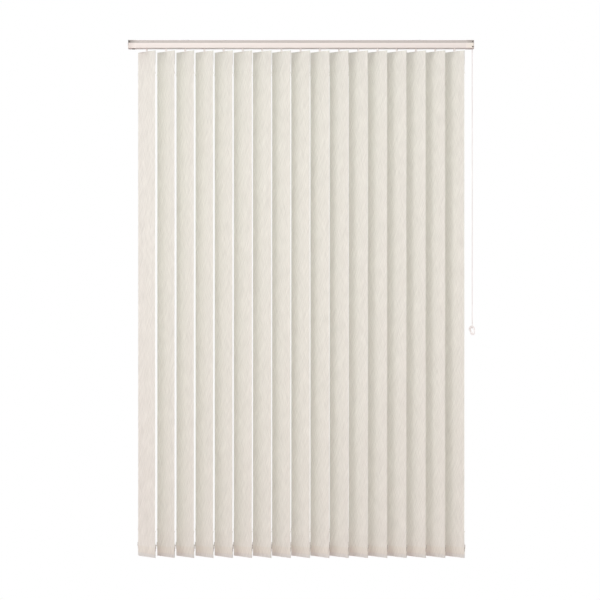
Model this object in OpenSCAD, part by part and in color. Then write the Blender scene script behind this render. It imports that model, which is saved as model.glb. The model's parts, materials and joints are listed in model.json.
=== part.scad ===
// Vertical blind with turning and drawing cloth louvres, worked by one cord loop
// X runs along the headrail with the control end at +X, the room side faces -Y
// and z = 0 is the ceiling that the two mounting clips are screwed to

/* [Louvres] */
// Number of louvres
louvre_count = 17; // [5:1:17]
// Distance between neighbouring louvres when drawn out
louvre_pitch = 66.6; // [58:0.1:80]
// Width of a louvre
louvre_w = 89; // [76:1:110]
// Length of a louvre from its top fold to its bottom fold
louvre_len = 1750; // [1500:10:2400]
// Turn of the louvres out of the closed plane
louvre_turn = 44.3; // [20:0.1:70]
// Thickness of the cloth
cloth_t = 0.4; // [0.25:0.05:0.6]
// Height of the welded strip that ends the top hem
top_weld = 26; // [15:1:60]
// Height of the welded strip that ends the bottom hem
bottom_weld = 41; // [15:1:60]
// Room left over a plate in its pocket
pocket_room = 6; // [3:0.5:12]

/* [Hangers] */
// Width of the hanger plate
hanger_w = 70; // [50:1:74]
// Height of the hanger plate in its pocket
hanger_h = 32; // [24:1:45]
// Fall of the plate's shoulders from the middle to the ends
shoulder_fall = 6; // [2:0.5:10]
// Thickness of the hanger plate and of the weight
plate_t = 1.2; // [0.8:0.1:1.6]
// Width of the tongue that hooks in the stem
tongue_w = 5; // [4.4:0.1:8]
// Radius of the hook stem
stem_r = 2.5; // [2.2:0.05:3]
// Radius of the stem's head and collar
head_r = 4; // [3.5:0.1:4.2]
// Radius of the claw that ends the stem under the headrail
claw_r = 3.5; // [3.1:0.1:4.2]
// Gap between the headrail and the top of the louvres
hook_gap = 9.6; // [9:0.1:16]

/* [Weights] */
// Height of the bottom weight
weight_h = 36; // [30:1:60]
// Distance from the weight's ends to the cloth's side edges
weight_inset = 1.5; // [0.5:0.1:4]
// Height of the end tabs that stick out of the pocket
tab_h = 16; // [10:1:28]
// Length of an end tab beyond the cloth
tab_out = 1.6; // [1:0.1:3]
// Radius of the chain pegs
peg_r = 0.9; // [0.7:0.05:1.2]
// Height of the chain pegs above their lugs
peg_h = 10; // [3:0.5:12]

/* [Headrail] */
// Depth of the headrail
rail_d = 32; // [30:0.5:44]
// Height of the headrail
rail_h = 28; // [26:0.5:40]
// Height of the set-back strip at the top
strip_h = 10; // [9:0.5:12]
// Set-back of that strip
strip_in = 3.5; // [2:0.1:4]
// Wall of the headrail
rail_wall = 1.4; // [1:0.1:2]
// Thickness of the two floors that the carriers roll on
floor_t = 1.5; // [1.2:0.1:2.5]
// Width of the slot between the floors
slot_w = 9; // [8.8:0.1:12]
// Length of headrail beyond the first stem, at the idle end
idle_margin = 35.7; // [25:0.1:80]
// Length of headrail beyond the last stem, at the control end
control_margin = 38.6; // [25:0.1:80]

/* [End caps] */
// Length of an end cap beyond the headrail
cap_len = 28; // [20:0.5:50]
// How far the caps stand proud of the headrail
cap_proud = 0.5; // [0.2:0.1:1]
// Thickness of a cap's end wall
cap_end_t = 2; // [1.8:0.1:4]
// Length of the collar that plugs into the headrail
spigot_l = 10; // [5:0.5:14]
// Wall of that collar
spigot_t = 1.2; // [0.8:0.1:1.4]
// Length of the release slot under the idle cap
release_l = 10; // [6:0.5:14]
// Width of that slot across the cap
release_w = 16; // [8:0.5:20]

/* [Carriers] */
// Length of a carrier
carrier_l = 14; // [13:0.5:20]
// Radius of the carrier's wheels
wheel_r = 3.2; // [2.6:0.1:3.3]
// Thickness of the wheels
wheel_t = 2.6; // [1.8:0.1:3]
// Half the wheel base
wheel_x = 3.6; // [3.4:0.1:6]

/* [Drive] */
// Radius over the corners of the tilt rod
rod_r = 2.5; // [2:0.1:2.8]
// Radius of the rod's end journals
journal_r = 1.5; // [1:0.1:1.8]
// Radius from the rod to the middle of the cord on the pulley
pulley_cord_r = 5; // [4.6:0.1:5.2]
// Width of the pulley
pulley_w = 4; // [3.8:0.1:6]

/* [Mounting clips] */
// Distance between the two screws
clip_spacing = 800; // [300:10:1000]
// Diameter of the screw holes
screw_d = 4.5; // [3.5:0.1:6]
// Thickness of the clip plate
clip_t = 1.2; // [0.8:0.1:2]
// Length of a clip along the headrail
clip_l = 30; // [16:1:60]

/* [Cord and chain] */
// Diameter of the cord
cord_d = 2; // [1.6:0.1:2.2]
// Thickness of the cord weight
ring_t = 5.4; // [4:0.1:5.6]
// Diameter of the bottom chain
chain_d = 2; // [1.4:0.1:2.4]
// Sag of the chain between two louvres
chain_sag = 20; // [10:0.5:24]

/* [Hidden] */
$fn = 48;

cloth_colour = [0.91, 0.89, 0.87];
rail_colour = [0.95, 0.93, 0.90];
plastic_colour = [0.93, 0.92, 0.90];
metal_colour = [0.72, 0.73, 0.74];
cord_colour = [0.90, 0.89, 0.88];

// Clearances: round fits, faces that slide, a plate in its pocket and a plug in its socket
fit_play = 0.05;
slide_play = 0.4;
plate_play = 0.1;
plug_play = 0.25;
cut = 1;

// Heights of the headrail
rail_top = -clip_t;
rail_bottom = rail_top - rail_h;
rail_half = rail_d / 2;
strip_half = rail_half - strip_in;
rail_edge = 1.2;
floor_top = rail_bottom + floor_t;
ledge_under = rail_top - strip_h - rail_wall;
lip_t = 1.3;
channel_h = 3.6;
channel_half = 8.5;
channel_mouth = 6;
cavity_top = rail_top - lip_t - channel_h - rail_wall;
wide_in = rail_half - rail_wall;
narrow_in = strip_half - rail_wall;

// Ends of the headrail, with the middle louvre at x = 0
stem_reach = (louvre_count - 1) / 2 * louvre_pitch;
rail_left = -stem_reach - idle_margin;
rail_right = stem_reach + control_margin;

// Carrier and stem
under_gap = 1.5;
carrier_bottom = floor_top + under_gap;
carrier_top = ledge_under - slide_play;
wheel_side_gap = 0.6;
wheel_out = wide_in - wheel_side_gap;
body_half = wheel_out - wheel_t - slide_play;
axle_r = 1.2;
stem_bore_r = stem_r + fit_play;
rod_play = 0.5;
rod_bore_r = rod_r + rod_play;
bore_wall = 1.05;
rod_y = stem_bore_r + bore_wall + rod_bore_r;
rod_z = (carrier_top + carrier_bottom) / 2;
head_t = 2;
collar_t = 0.9;
axial_play = 0.1;

// Louvre, hanger and weight: u along the width, n across it
pocket_half = plate_t / 2 + plate_play;
louvre_top = rail_bottom - hook_gap;
louvre_bottom = louvre_top - louvre_len;
top_pocket = hanger_h + shoulder_fall + pocket_room;
bottom_pocket = weight_h + pocket_room;
pocket_ramp = 10;
fold_bevel = cloth_t;
fork_gap = 1.2;
fork_bottom = louvre_top + fork_gap;
pin_r = 1;
pin_up = 3.2;
pin_z = fork_bottom + pin_up;
tongue_over = 2.3;
tongue_top = pin_z + tongue_over;
slot_top = tongue_top + slide_play;
claw_taper = claw_r - stem_r;
claw_h = hook_gap - fork_gap - slide_play - claw_taper;
hanger_top = louvre_top - cloth_t - slide_play;
weight_bottom = louvre_bottom + cloth_t + plate_play;
weight_top = weight_bottom + weight_h;
lug_h = 4;
ring_play = 0.3;
eye_in = peg_r + ring_play;
eye_wall = 1;
eye_out = eye_in + eye_wall;
peg_u = louvre_w / 2 + eye_out + slide_play;
eye_t = 1.2;
eye_z = weight_top + slide_play + eye_t / 2;

// Chain: arcs that hang behind the pegs, which lie turned with the louvres
knot_r = chain_d * 0.7;
chain_back = eye_in + knot_r;
peg_x = -peg_u * cos(louvre_turn);
peg_y = peg_u * sin(louvre_turn);
arc_r = (pow(louvre_pitch / 2, 2) + pow(chain_sag, 2)) / (2 * chain_sag);
arc_half = asin(louvre_pitch / 2 / arc_r);

// Control end
cap_in = plug_play + spigot_t;
cap_floor = cap_proud + floor_t + cap_in;
control_face = rail_right + cap_len - cap_end_t;
pulley_x = control_face - slide_play - pulley_w / 2;
rim_up = 0.8;
pulley_rim = pulley_cord_r + rim_up;
groove_slope = 0.6;
groove_r = pulley_cord_r - cord_d / 2 - slide_play;
groove_half = cord_d / 2 + slide_play;
cord_hole_r = cord_d / 2 + slide_play;
journal_l = 1;
dot_r = 2;
dot_deep = 1.2;
dot_in = 4.4;
release_in = 17.5;

// Cord route in y and z at cord_x: down in front, under the bar of the weight and up behind
cord_x = 595;
cord_route = [
    [1.6, -28], [1.6, -31], [1.6, -60], [1.6, -120], [1.6, -240], [1.7, -360], [1.7, -480],
    [1.8, -600], [1.8, -720], [1.9, -840], [2, -930], [2, -978], [2, -993.6], [2.4, -995.4],
    [3.4, -996.9], [4.9, -997.9], [6.6, -998.2], [8.3, -997.9], [9.8, -996.9], [10.8, -995.4],
    [11.2, -993.6], [11.2, -978], [11.2, -930], [11.3, -840], [11.4, -720], [11.4, -600],
    [11.5, -480], [11.5, -360], [11.6, -240], [11.6, -120], [11.6, -60], [11.6, -31], [11.6, -28]
];
cord_sides = 8;

// Cord weight: an egg that leans a little, with an egg-shaped hole set to its side, hung by its top bar
ring_y = 6.6;
ring_lean = 1.6;
ring_top = [cord_x - ring_lean, -998.1];
ring_top_r = 10.6;
ring_low = [cord_x + ring_lean, -1013.9];
ring_low_r = 7.4;
hole_top = [cord_x, -1000.4];
hole_top_r = 5;
hole_low = [cord_x + 1.8, -1008.4];
hole_low_r = 3.2;
ring_bevel = 0.8;

function name_of(base, i) = str(base, i < 10 ? "_0" : "_", i);
function stem_x(i) = (i - 1) * louvre_pitch - stem_reach;
function both_sides(half) = concat(
    half,
    [for (k = [len(half) - 1 : -1 : 0]) [-half[k][0], half[k][1]]]
);

// A section drawn in y and z, run along x from x_low to x_high
module along_rail(x_low, x_high) {
    translate([x_low, 0, 0])
        rotate([90, 0, 90])
            linear_extrude(x_high - x_low)
                children();
}

// A plate drawn in u and z, of thickness t across n
module plate(t) {
    rotate([90, 0, 0])
        linear_extrude(t, center = true)
            children();
}

// What hangs on one stem, at its place and turn
module at_stem(i) {
    translate([stem_x(i), 0, 0])
        rotate([0, 0, -louvre_turn])
            children();
}

module rail_outline(grow) {
    polygon(both_sides([
        [strip_half + grow, rail_top + min(grow, clip_t)],
        [strip_half + grow, rail_top - strip_h + grow],
        [rail_half + grow - rail_edge / 2, rail_top - strip_h + grow],
        [rail_half + grow, rail_top - strip_h + grow - rail_edge / 2],
        [rail_half + grow, rail_bottom - grow + rail_edge],
        [rail_half + grow - rail_edge, rail_bottom - grow]
    ]));
}

module rail_cavity(gap) {
    polygon(both_sides([
        [narrow_in - gap, cavity_top - gap],
        [narrow_in - gap, ledge_under - gap],
        [wide_in - gap, ledge_under - gap],
        [wide_in - gap, floor_top + gap]
    ]));
}

module clip_channel() {
    polygon(both_sides([
        [channel_mouth, rail_top + cut],
        [channel_mouth, rail_top - lip_t],
        [channel_half, rail_top - lip_t],
        [channel_half, rail_top - lip_t - channel_h]
    ]));
}

module headrail() {
    color(rail_colour)
        along_rail(rail_left, rail_right)
            difference() {
                rail_outline(0);
                rail_cavity(0);
                clip_channel();
                translate([-slot_w / 2, rail_bottom - cut])
                    square([slot_w, floor_t + 2 * cut]);
            }
}

// Hollow cap with a collar that plugs into the headrail and a dot in its strip, drawn for the control end
module cap_shell(x_end) {
    difference() {
        union() {
            along_rail(x_end, x_end + cap_len)
                rail_outline(cap_proud);
            along_rail(x_end - spigot_l, x_end)
                rail_cavity(plug_play);
        }
        along_rail(x_end - spigot_l - cut, x_end + cap_len - cap_end_t)
            rail_cavity(cap_in);
        translate([x_end + cap_len - cap_end_t - cut, rod_y, rod_z])
            rotate([0, 90, 0])
                cylinder(r = journal_r + fit_play, h = journal_l + slide_play + cut);
        translate([x_end + cap_len - dot_in, -strip_half - cap_proud - cut, rail_top - strip_h / 2])
            rotate([-90, 0, 0])
                cylinder(r = dot_r, h = dot_deep + cut);
    }
}

module control_end_cap() {
    color(plastic_colour)
        difference() {
            cap_shell(rail_right);
            for (side = [-1, 1])
                translate([cord_x, rod_y + side * pulley_cord_r, rail_bottom - cap_proud - cut])
                    cylinder(r = cord_hole_r, h = cap_floor + 2 * cut);
            translate([cord_x, -rail_half - cap_proud - cut, rail_bottom + strip_h / 2])
                rotate([-90, 0, 0])
                    cylinder(r = dot_r, h = dot_deep + cut);
        }
}

// Idle cap, with a slot underneath through which its collar is pressed free
module idle_end_cap() {
    color(plastic_colour)
        difference() {
            mirror([1, 0, 0])
                cap_shell(-rail_left);
            translate([
                rail_left - cap_len + release_in - release_l / 2,
                -release_w / 2,
                rail_bottom - cap_proud - cut
            ])
                cube([release_l, release_w, cap_floor + 2 * cut]);
        }
}

// Spring-steel clips: a plate on the ceiling and two barbed legs under the channel's lips
module mounting_clips() {
    leg_t = 1;
    leg_out = channel_mouth - slide_play;
    leg_in = leg_out - leg_t;
    barb = channel_half - 2 * slide_play;
    barb_z = rail_top - lip_t - slide_play / 2;
    barb_h = 2.2;
    color(metal_colour)
        for (side = [-1, 1])
            translate([side * clip_spacing / 2, 0, 0])
                difference() {
                    along_rail(-clip_l / 2, clip_l / 2)
                        union() {
                            translate([-strip_half, rail_top])
                                square([2 * strip_half, clip_t]);
                            for (hand = [0, 1])
                                mirror([hand, 0])
                                    polygon([
                                        [leg_in, rail_top + clip_t / 2],
                                        [leg_out, rail_top + clip_t / 2],
                                        [leg_out, barb_z],
                                        [barb, barb_z],
                                        [leg_out, barb_z - barb_h],
                                        [leg_in, barb_z - barb_h]
                                    ]);
                        }
                    translate([0, 0, rail_top - cut])
                        cylinder(d = screw_d, h = clip_t + 2 * cut);
                }
}

// Rolling carrier with the bores of its stem and of the tilt rod
module carrier(i) {
    body_bevel = 1.5;
    wheel_z = floor_top + slide_play + wheel_r;
    color(plastic_colour)
        translate([stem_x(i), 0, 0])
            difference() {
                union() {
                    along_rail(-carrier_l / 2, carrier_l / 2)
                        polygon(both_sides([
                            [body_half - body_bevel, carrier_top],
                            [body_half, carrier_top - body_bevel],
                            [body_half, carrier_bottom + body_bevel],
                            [body_half - body_bevel, carrier_bottom]
                        ]));
                    for (side = [-1, 1], end = [-1, 1])
                        translate([end * wheel_x, side * wheel_out, wheel_z])
                            rotate([side * 90, 0, 0]) {
                                cylinder(r = wheel_r, h = wheel_t);
                                cylinder(r = axle_r, h = wheel_t + slide_play + cut);
                            }
                }
                translate([0, 0, carrier_bottom - cut])
                    cylinder(r = stem_bore_r, h = carrier_top - carrier_bottom + 2 * cut);
                translate([-carrier_l / 2 - cut, rod_y, rod_z])
                    rotate([0, 90, 0])
                        cylinder(r = rod_bore_r, h = carrier_l + 2 * cut);
            }
}

// Turning stem: a head on the carrier, a collar under it and a forked claw with a cross pin
module hook_stem() {
    difference() {
        union() {
            translate([0, 0, fork_bottom])
                cylinder(r = stem_r, h = carrier_top + axial_play + head_t - fork_bottom);
            translate([0, 0, carrier_top + axial_play])
                cylinder(r = head_r, h = head_t);
            translate([0, 0, carrier_bottom - axial_play - collar_t])
                cylinder(r = head_r, h = collar_t);
            translate([0, 0, fork_bottom]) {
                cylinder(r = claw_r, h = claw_h);
                translate([0, 0, claw_h])
                    cylinder(r1 = claw_r, r2 = stem_r, h = claw_taper);
            }
        }
        translate([-claw_r - cut, -pocket_half, fork_bottom - cut])
            cube([2 * (claw_r + cut), 2 * pocket_half, slot_top - fork_bottom + cut]);
    }
    translate([0, pocket_half + cut, pin_z])
        rotate([90, 0, 0])
            cylinder(r = pin_r, h = 2 * (pocket_half + cut));
}

// Plate in the louvre's top pocket, with the tongue that hooks on the stem's pin
module hanger_plate() {
    half = hanger_w / 2;
    low = hanger_top - shoulder_fall - hanger_h;
    corner = 4;
    neck = tongue_w / 2;
    neck_bevel = 0.8;
    frame_w = 7;
    window_low = low + frame_w;
    window_h = hanger_h - 2.5 * frame_w;
    plate(plate_t)
        difference() {
            polygon(both_sides([
                [neck - neck_bevel, tongue_top],
                [neck, tongue_top - neck_bevel],
                [neck, hanger_top],
                [half - corner, hanger_top - shoulder_fall],
                [half, hanger_top - shoulder_fall - corner],
                [half, low + corner],
                [half - corner, low]
            ]));
            translate([0, pin_z])
                circle(r = pin_r + plate_play);
            for (hand = [0, 1])
                mirror([hand, 0])
                    translate([frame_w, window_low])
                        square([half - 2 * frame_w, window_h]);
        }
}

module hanger(i) {
    color(plastic_colour)
        at_stem(i) {
            hook_stem();
            hanger_plate();
        }
}

// Section of the cloth across its thickness: a front sheet, hemmed behind at both ends
module cloth_section() {
    front = -pocket_half - cloth_t;
    back = pocket_half + cloth_t;
    lap = -pocket_half + cloth_t;
    top_ramp = louvre_top - top_pocket;
    top_end = top_ramp - pocket_ramp - top_weld;
    low_ramp = louvre_bottom + bottom_pocket;
    low_end = low_ramp + pocket_ramp + bottom_weld;
    difference() {
        polygon([
            [front, louvre_bottom + fold_bevel],
            [front, louvre_top - fold_bevel],
            [front + fold_bevel, louvre_top],
            [back - fold_bevel, louvre_top],
            [back, louvre_top - fold_bevel],
            [back, top_ramp],
            [lap, top_ramp - pocket_ramp],
            [lap, top_end],
            [-pocket_half, top_end],
            [-pocket_half, low_end],
            [lap, low_end],
            [lap, low_ramp + pocket_ramp],
            [back, low_ramp],
            [back, louvre_bottom + fold_bevel],
            [back - fold_bevel, louvre_bottom],
            [front + fold_bevel, louvre_bottom]
        ]);
        polygon([
            [-pocket_half, louvre_top - cloth_t],
            [pocket_half, louvre_top - cloth_t],
            [pocket_half, top_ramp],
            [-pocket_half, top_ramp - pocket_ramp]
        ]);
        polygon([
            [-pocket_half, louvre_bottom + cloth_t],
            [pocket_half, louvre_bottom + cloth_t],
            [pocket_half, low_ramp],
            [-pocket_half, low_ramp + pocket_ramp]
        ]);
    }
}

// Weight in the bottom pocket, with end tabs and a chain peg on a lug at each end
module bottom_weight() {
    half = louvre_w / 2 - weight_inset;
    tab = louvre_w / 2 + tab_out;
    corner = 3;
    plate(plate_t)
        polygon(both_sides([
            [half - corner, weight_bottom],
            [half, weight_bottom + corner],
            [half, weight_top - tab_h],
            [tab, weight_top - tab_h + tab - half],
            [tab, weight_top - lug_h - peg_u + tab],
            [peg_u, weight_top - lug_h],
            [peg_u, weight_top]
        ]));
    for (side = [-1, 1])
        translate([side * peg_u, 0, weight_top - lug_h])
            cylinder(r = peg_r, h = lug_h + peg_h);
}

module louvre(i) {
    color(cloth_colour)
        at_stem(i) {
            difference() {
                along_rail(-louvre_w / 2, louvre_w / 2)
                    cloth_section();
                translate([-tongue_w / 2 - slide_play, -pocket_half, louvre_top - 2 * cloth_t])
                    cube([tongue_w + 2 * slide_play, 2 * pocket_half, 3 * cloth_t]);
            }
            bottom_weight();
        }
}

// Rod of hexagonal section that turns every stem, with a journal in each end cap
module tilt_rod() {
    low = rail_left - cap_len + cap_end_t;
    color(metal_colour)
        translate([0, rod_y, rod_z])
            rotate([0, 90, 0]) {
                translate([0, 0, low + slide_play])
                    cylinder(r = rod_r, h = control_face - low - 2 * slide_play, $fn = 6);
                translate([0, 0, low - journal_l])
                    cylinder(r = journal_r, h = control_face - low + 2 * journal_l);
            }
}

// Grooved pulley on the rod, turned by the cord
module drive_pulley() {
    color(plastic_colour)
        translate([pulley_x, rod_y, rod_z])
            rotate([0, 90, 0])
                rotate_extrude()
                    polygon([
                        [rod_r + fit_play, -pulley_w / 2],
                        [pulley_rim, -pulley_w / 2],
                        [pulley_rim, -groove_half],
                        [groove_r, -groove_half + groove_slope],
                        [groove_r, groove_half - groove_slope],
                        [pulley_rim, groove_half],
                        [pulley_rim, pulley_w / 2],
                        [rod_r + fit_play, pulley_w / 2]
                    ]);
}

// Cord: one tube swept along its route, which lies in a plane across the headrail
module cord() {
    last = len(cord_route) - 1;
    ahead = [for (k = [0 : last]) cord_route[min(k + 1, last)] - cord_route[max(k - 1, 0)]];
    rings = [
        for (k = [0 : last], s = [0 : cord_sides - 1])
            let (
                across = [-ahead[k][1], ahead[k][0]] / norm(ahead[k]),
                turn = 360 * s / cord_sides,
                off = cord_d / 2 * sin(turn)
            )
            [
                cord_x + cord_d / 2 * cos(turn),
                cord_route[k][0] + off * across[0],
                cord_route[k][1] + off * across[1]
            ]
    ];
    walls = [
        for (k = [0 : last - 1], s = [0 : cord_sides - 1])
            let (a = k * cord_sides + s, b = k * cord_sides + (s + 1) % cord_sides)
            [a, b, b + cord_sides, a + cord_sides]
    ];
    ends = [
        [for (s = [cord_sides - 1 : -1 : 0]) s],
        [for (s = [0 : cord_sides - 1]) last * cord_sides + s]
    ];
    color(cord_colour)
        polyhedron(rings, concat(walls, ends), convexity = 4);
}

// The ring as a flat shape, drawn in by inset all round
module ring_outline(inset) {
    difference() {
        hull() {
            translate(ring_top)
                circle(r = ring_top_r - inset, $fn = 32);
            translate(ring_low)
                circle(r = ring_low_r - inset, $fn = 32);
        }
        hull() {
            translate(hole_top)
                circle(r = hole_top_r + inset, $fn = 32);
            translate(hole_low)
                circle(r = hole_low_r + inset, $fn = 32);
        }
    }
}

module cord_weight() {
    color(plastic_colour)
        translate([0, ring_y, 0]) {
            plate(ring_t - 2 * ring_bevel)
                ring_outline(0);
            plate(ring_t)
                ring_outline(ring_bevel);
        }
}

// Chain behind the louvres: an eye on each weight's peg and a hanging arc between two eyes
module bottom_chain() {
    color(plastic_colour)
        for (i = [1 : louvre_count])
            translate([stem_x(i) + peg_x, peg_y, eye_z]) {
                rotate_extrude()
                    translate([eye_in, -eye_t / 2])
                        square([eye_out - eye_in, eye_t]);
                translate([0, chain_back, 0])
                    sphere(r = knot_r);
                if (i < louvre_count)
                    translate([louvre_pitch / 2, chain_back, arc_r - chain_sag])
                        rotate([90, 0, 0])
                            rotate([0, 0, -90 - arc_half])
                                rotate_extrude(angle = 2 * arc_half)
                                    translate([arc_r, 0])
                                        circle(d = chain_d);
            }
}

for (i = [1 : louvre_count]) {
    carrier(i);
    hanger(i);
    louvre(i);
}
headrail();
control_end_cap();
idle_end_cap();
mounting_clips();
tilt_rod();
drive_pulley();
cord();
cord_weight();
bottom_chain();
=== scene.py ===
# %% [markdown]
# # A vertical blind with cloth louvres
# The blind hangs from a ceiling: a slim white headrail, seventeen hemmed cloth louvres that turn on
# hook stems, a bead chain behind their feet, and one cord loop with a small ring weight at the right.
# The solids come in as a fixed frame, in metres, with +Z up and the room on the -Y side. Every piece
# made here goes where that frame says, so nothing is fitted by eye.

# %% Load the frame
import json
import math

import bmesh
import bpy
from mathutils import Matrix, Vector


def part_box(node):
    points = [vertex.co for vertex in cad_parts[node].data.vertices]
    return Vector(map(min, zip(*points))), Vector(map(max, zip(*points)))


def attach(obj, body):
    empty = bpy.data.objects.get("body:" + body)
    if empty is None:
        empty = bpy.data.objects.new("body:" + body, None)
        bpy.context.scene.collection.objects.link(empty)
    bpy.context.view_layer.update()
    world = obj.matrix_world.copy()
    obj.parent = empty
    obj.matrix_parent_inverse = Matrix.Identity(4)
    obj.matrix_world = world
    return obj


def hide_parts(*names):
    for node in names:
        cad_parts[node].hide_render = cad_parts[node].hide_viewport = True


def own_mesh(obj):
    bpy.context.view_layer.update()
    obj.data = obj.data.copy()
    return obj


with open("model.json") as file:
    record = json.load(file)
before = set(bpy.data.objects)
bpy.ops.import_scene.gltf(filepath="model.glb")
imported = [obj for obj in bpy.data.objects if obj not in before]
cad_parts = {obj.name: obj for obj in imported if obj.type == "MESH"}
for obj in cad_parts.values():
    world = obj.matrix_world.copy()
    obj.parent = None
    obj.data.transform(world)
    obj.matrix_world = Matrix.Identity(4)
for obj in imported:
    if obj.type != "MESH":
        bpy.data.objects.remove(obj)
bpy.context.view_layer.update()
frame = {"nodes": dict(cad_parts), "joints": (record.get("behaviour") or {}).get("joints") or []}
nodes = frame["nodes"]


def new_object(name, data):
    """An object of some data, in the scene."""
    made = bpy.data.objects.new(name, data)
    bpy.context.scene.collection.objects.link(made)
    return made


# %% [markdown]
# ## Where the stems stand
# Each louvre turns about its own hook stem, so the stems give the places of all that repeats. They are
# read from the joints: sixteen louvres turn on rolling carriers and the last one on the fixed carrier.
# At rest every louvre is turned by the same angle out of the closed plane, its right edge to the room.

# %% Stems and the turn of the louvres
MM = 0.001
LOUVRE_TURN = math.radians(44.3)
stem_places = {
    joint["child"]: Vector(joint["pos_m"])
    for joint in frame["joints"]
    if joint["child"].startswith("vane_")
}
vanes = sorted(stem_places)
stem_pitch = stem_places[vanes[1]].x - stem_places[vanes[0]].x


def at_stem(vane):
    """Matrix from a louvre's own axes (u along X, n along Y) to its place in the frame."""
    return Matrix.Translation(stem_places[vane]) @ Matrix.Rotation(-LOUVRE_TURN, 4, "Z")


print("stems:", len(vanes), "with a pitch of", round(stem_pitch / MM, 1), "mm")

# %% [markdown]
# ## Camera
# The blind was photographed straight on, from far enough away that its sides barely converge. A long
# lens at six and a half metres gives the same slight opening of the gaps towards the left, because
# there the eye looks along the turned louvres.

# %% Camera
CAMERA_DISTANCE = 6.5
CAMERA_SIDE = -0.0021
CAMERA_HEIGHT = -0.8995
CAMERA_LENS_MM = 112.6

camera_data = bpy.data.cameras.new("camera")
camera_data.lens = CAMERA_LENS_MM
camera_data.sensor_width = 36.0
camera = new_object("camera", camera_data)
camera.location = (CAMERA_SIDE, -CAMERA_DISTANCE, CAMERA_HEIGHT)
camera.rotation_euler = (math.radians(90), 0.0, 0.0)
bpy.context.scene.camera = camera
print("camera:", CAMERA_LENS_MM, "mm lens at", CAMERA_DISTANCE, "m")

# %% [markdown]
# ## Helpers for meshes and node trees
# A finished piece is a plain mesh whose object stays at the origin, with its place in its vertices.
# Small helpers build the node trees: they add a node and set it up, start a tree with named inputs, so
# that its sizes can be read on the modifier, and turn what the tree makes into a plain mesh.

# %% Node tree helpers
def add_node(tree, kind, inputs=None, **settings):
    """A new node with its settings, and its inputs by name as a value or as a socket to link."""
    node = tree.nodes.new(kind)
    for key, value in settings.items():
        setattr(node, key, value)
    for key, value in (inputs or {}).items():
        if isinstance(value, bpy.types.NodeSocket):
            tree.links.new(value, node.inputs[key])
        else:
            node.inputs[key].default_value = value
    return node


def math_node(tree, operation, first, second=0.0):
    """The output of one Math node, of values or sockets."""
    return add_node(tree, "ShaderNodeMath", {0: first, 1: second}, operation=operation).outputs[0]


def times(tree, first, second):
    """The product of two values or sockets."""
    return math_node(tree, "MULTIPLY", first, second)


def plus(tree, first, second):
    """The sum of two values or sockets."""
    return math_node(tree, "ADD", first, second)


def minus(tree, first, second):
    """The first value or socket less the second."""
    return math_node(tree, "SUBTRACT", first, second)


def split_xyz(tree, vector):
    """The three parts of a vector."""
    return add_node(tree, "ShaderNodeSeparateXYZ", {0: vector}).outputs


def join_xyz(tree, x, y, z=0.0):
    """A vector of three parts."""
    return add_node(tree, "ShaderNodeCombineXYZ", {"X": x, "Y": y, "Z": z}).outputs[0]


def new_tree(name, kind, inputs, result, result_kind):
    """A node tree with inputs named by kind and one result, its input node and its output node."""
    tree = bpy.data.node_groups.new(name, kind)
    for input_kind, labels in inputs.items():
        for label in labels:
            tree.interface.new_socket(label, in_out="INPUT", socket_type="NodeSocket" + input_kind)
    tree.interface.new_socket(result, in_out="OUTPUT", socket_type="NodeSocket" + result_kind)
    return tree, tree.nodes.new("NodeGroupInput"), tree.nodes.new("NodeGroupOutput")


def new_geometry_tree(name, sizes):
    """A Geometry Nodes tree with named sizes and a material."""
    inputs = {"Geometry": ["Geometry"], **sizes, "Material": ["Material"]}
    return new_tree(name, "GeometryNodeTree", inputs, "Geometry", "Geometry")


def finish_tree(tree, start, end, geometry):
    """Ends a tree as every tree here ends: real geometry with its material."""
    real = add_node(tree, "GeometryNodeRealizeInstances", {"Geometry": geometry})
    inputs = {"Geometry": real.outputs[0], "Material": start.outputs["Material"]}
    painted = add_node(tree, "GeometryNodeSetMaterial", inputs)
    tree.links.new(painted.outputs[0], end.inputs[0])


def run_tree(start_mesh, tree, sizes, thickness=None):
    """The plain mesh that a tree makes of a start mesh, made solid if it has a thickness."""
    work = new_object("work", start_mesh)
    nodes_modifier = work.modifiers.new("nodes", "NODES")
    nodes_modifier.node_group = tree
    for item in tree.interface.items_tree:
        if item.in_out == "INPUT" and item.name in sizes:
            nodes_modifier[item.identifier] = sizes[item.name]
    if thickness:
        solidify = work.modifiers.new("solidify", "SOLIDIFY")
        solidify.thickness = thickness
        solidify.offset = 0.0
    depsgraph = bpy.context.evaluated_depsgraph_get()
    made = bpy.data.meshes.new_from_object(work.evaluated_get(depsgraph), depsgraph=depsgraph)
    bpy.data.objects.remove(work)
    return made


# %% Mesh helpers
SMOOTH_ANGLE = math.radians(40)
UV_NAME = "UVMap"


def points_mesh(name, points):
    """A line of edges through some points."""
    mesh = bpy.data.meshes.new(name)
    mesh.from_pydata([tuple(point) for point in points], [(k, k + 1) for k in range(len(points) - 1)], [])
    return mesh


def add_cone(shape, matrix, radius, end_radius, depth, sides):
    """Adds a closed cone or pin to a bmesh, along the Z axis of the matrix."""
    bmesh.ops.create_cone(
        shape, cap_ends=True, segments=sides, radius1=radius, radius2=end_radius, depth=depth, matrix=matrix
    )


def close_shape(name, shape, material):
    """The mesh of a finished bmesh, with its faces outwards and its material."""
    bmesh.ops.recalc_face_normals(shape, faces=shape.faces)
    mesh = bpy.data.meshes.new(name)
    shape.to_mesh(mesh)
    shape.free()
    mesh.materials.append(material)
    return mesh


def add_piece(name, mesh, body):
    """A finished piece: its mesh at the origin, riding on a body, with the slot of its finish."""
    mesh.shade_smooth()
    mesh.set_sharp_from_angle(angle=SMOOTH_ANGLE)
    piece = new_object(name, mesh)
    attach(piece, body)
    return piece


def triangles(mesh):
    """How many triangles a mesh has."""
    mesh.calc_loop_triangles()
    return len(mesh.loop_triangles)


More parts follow.
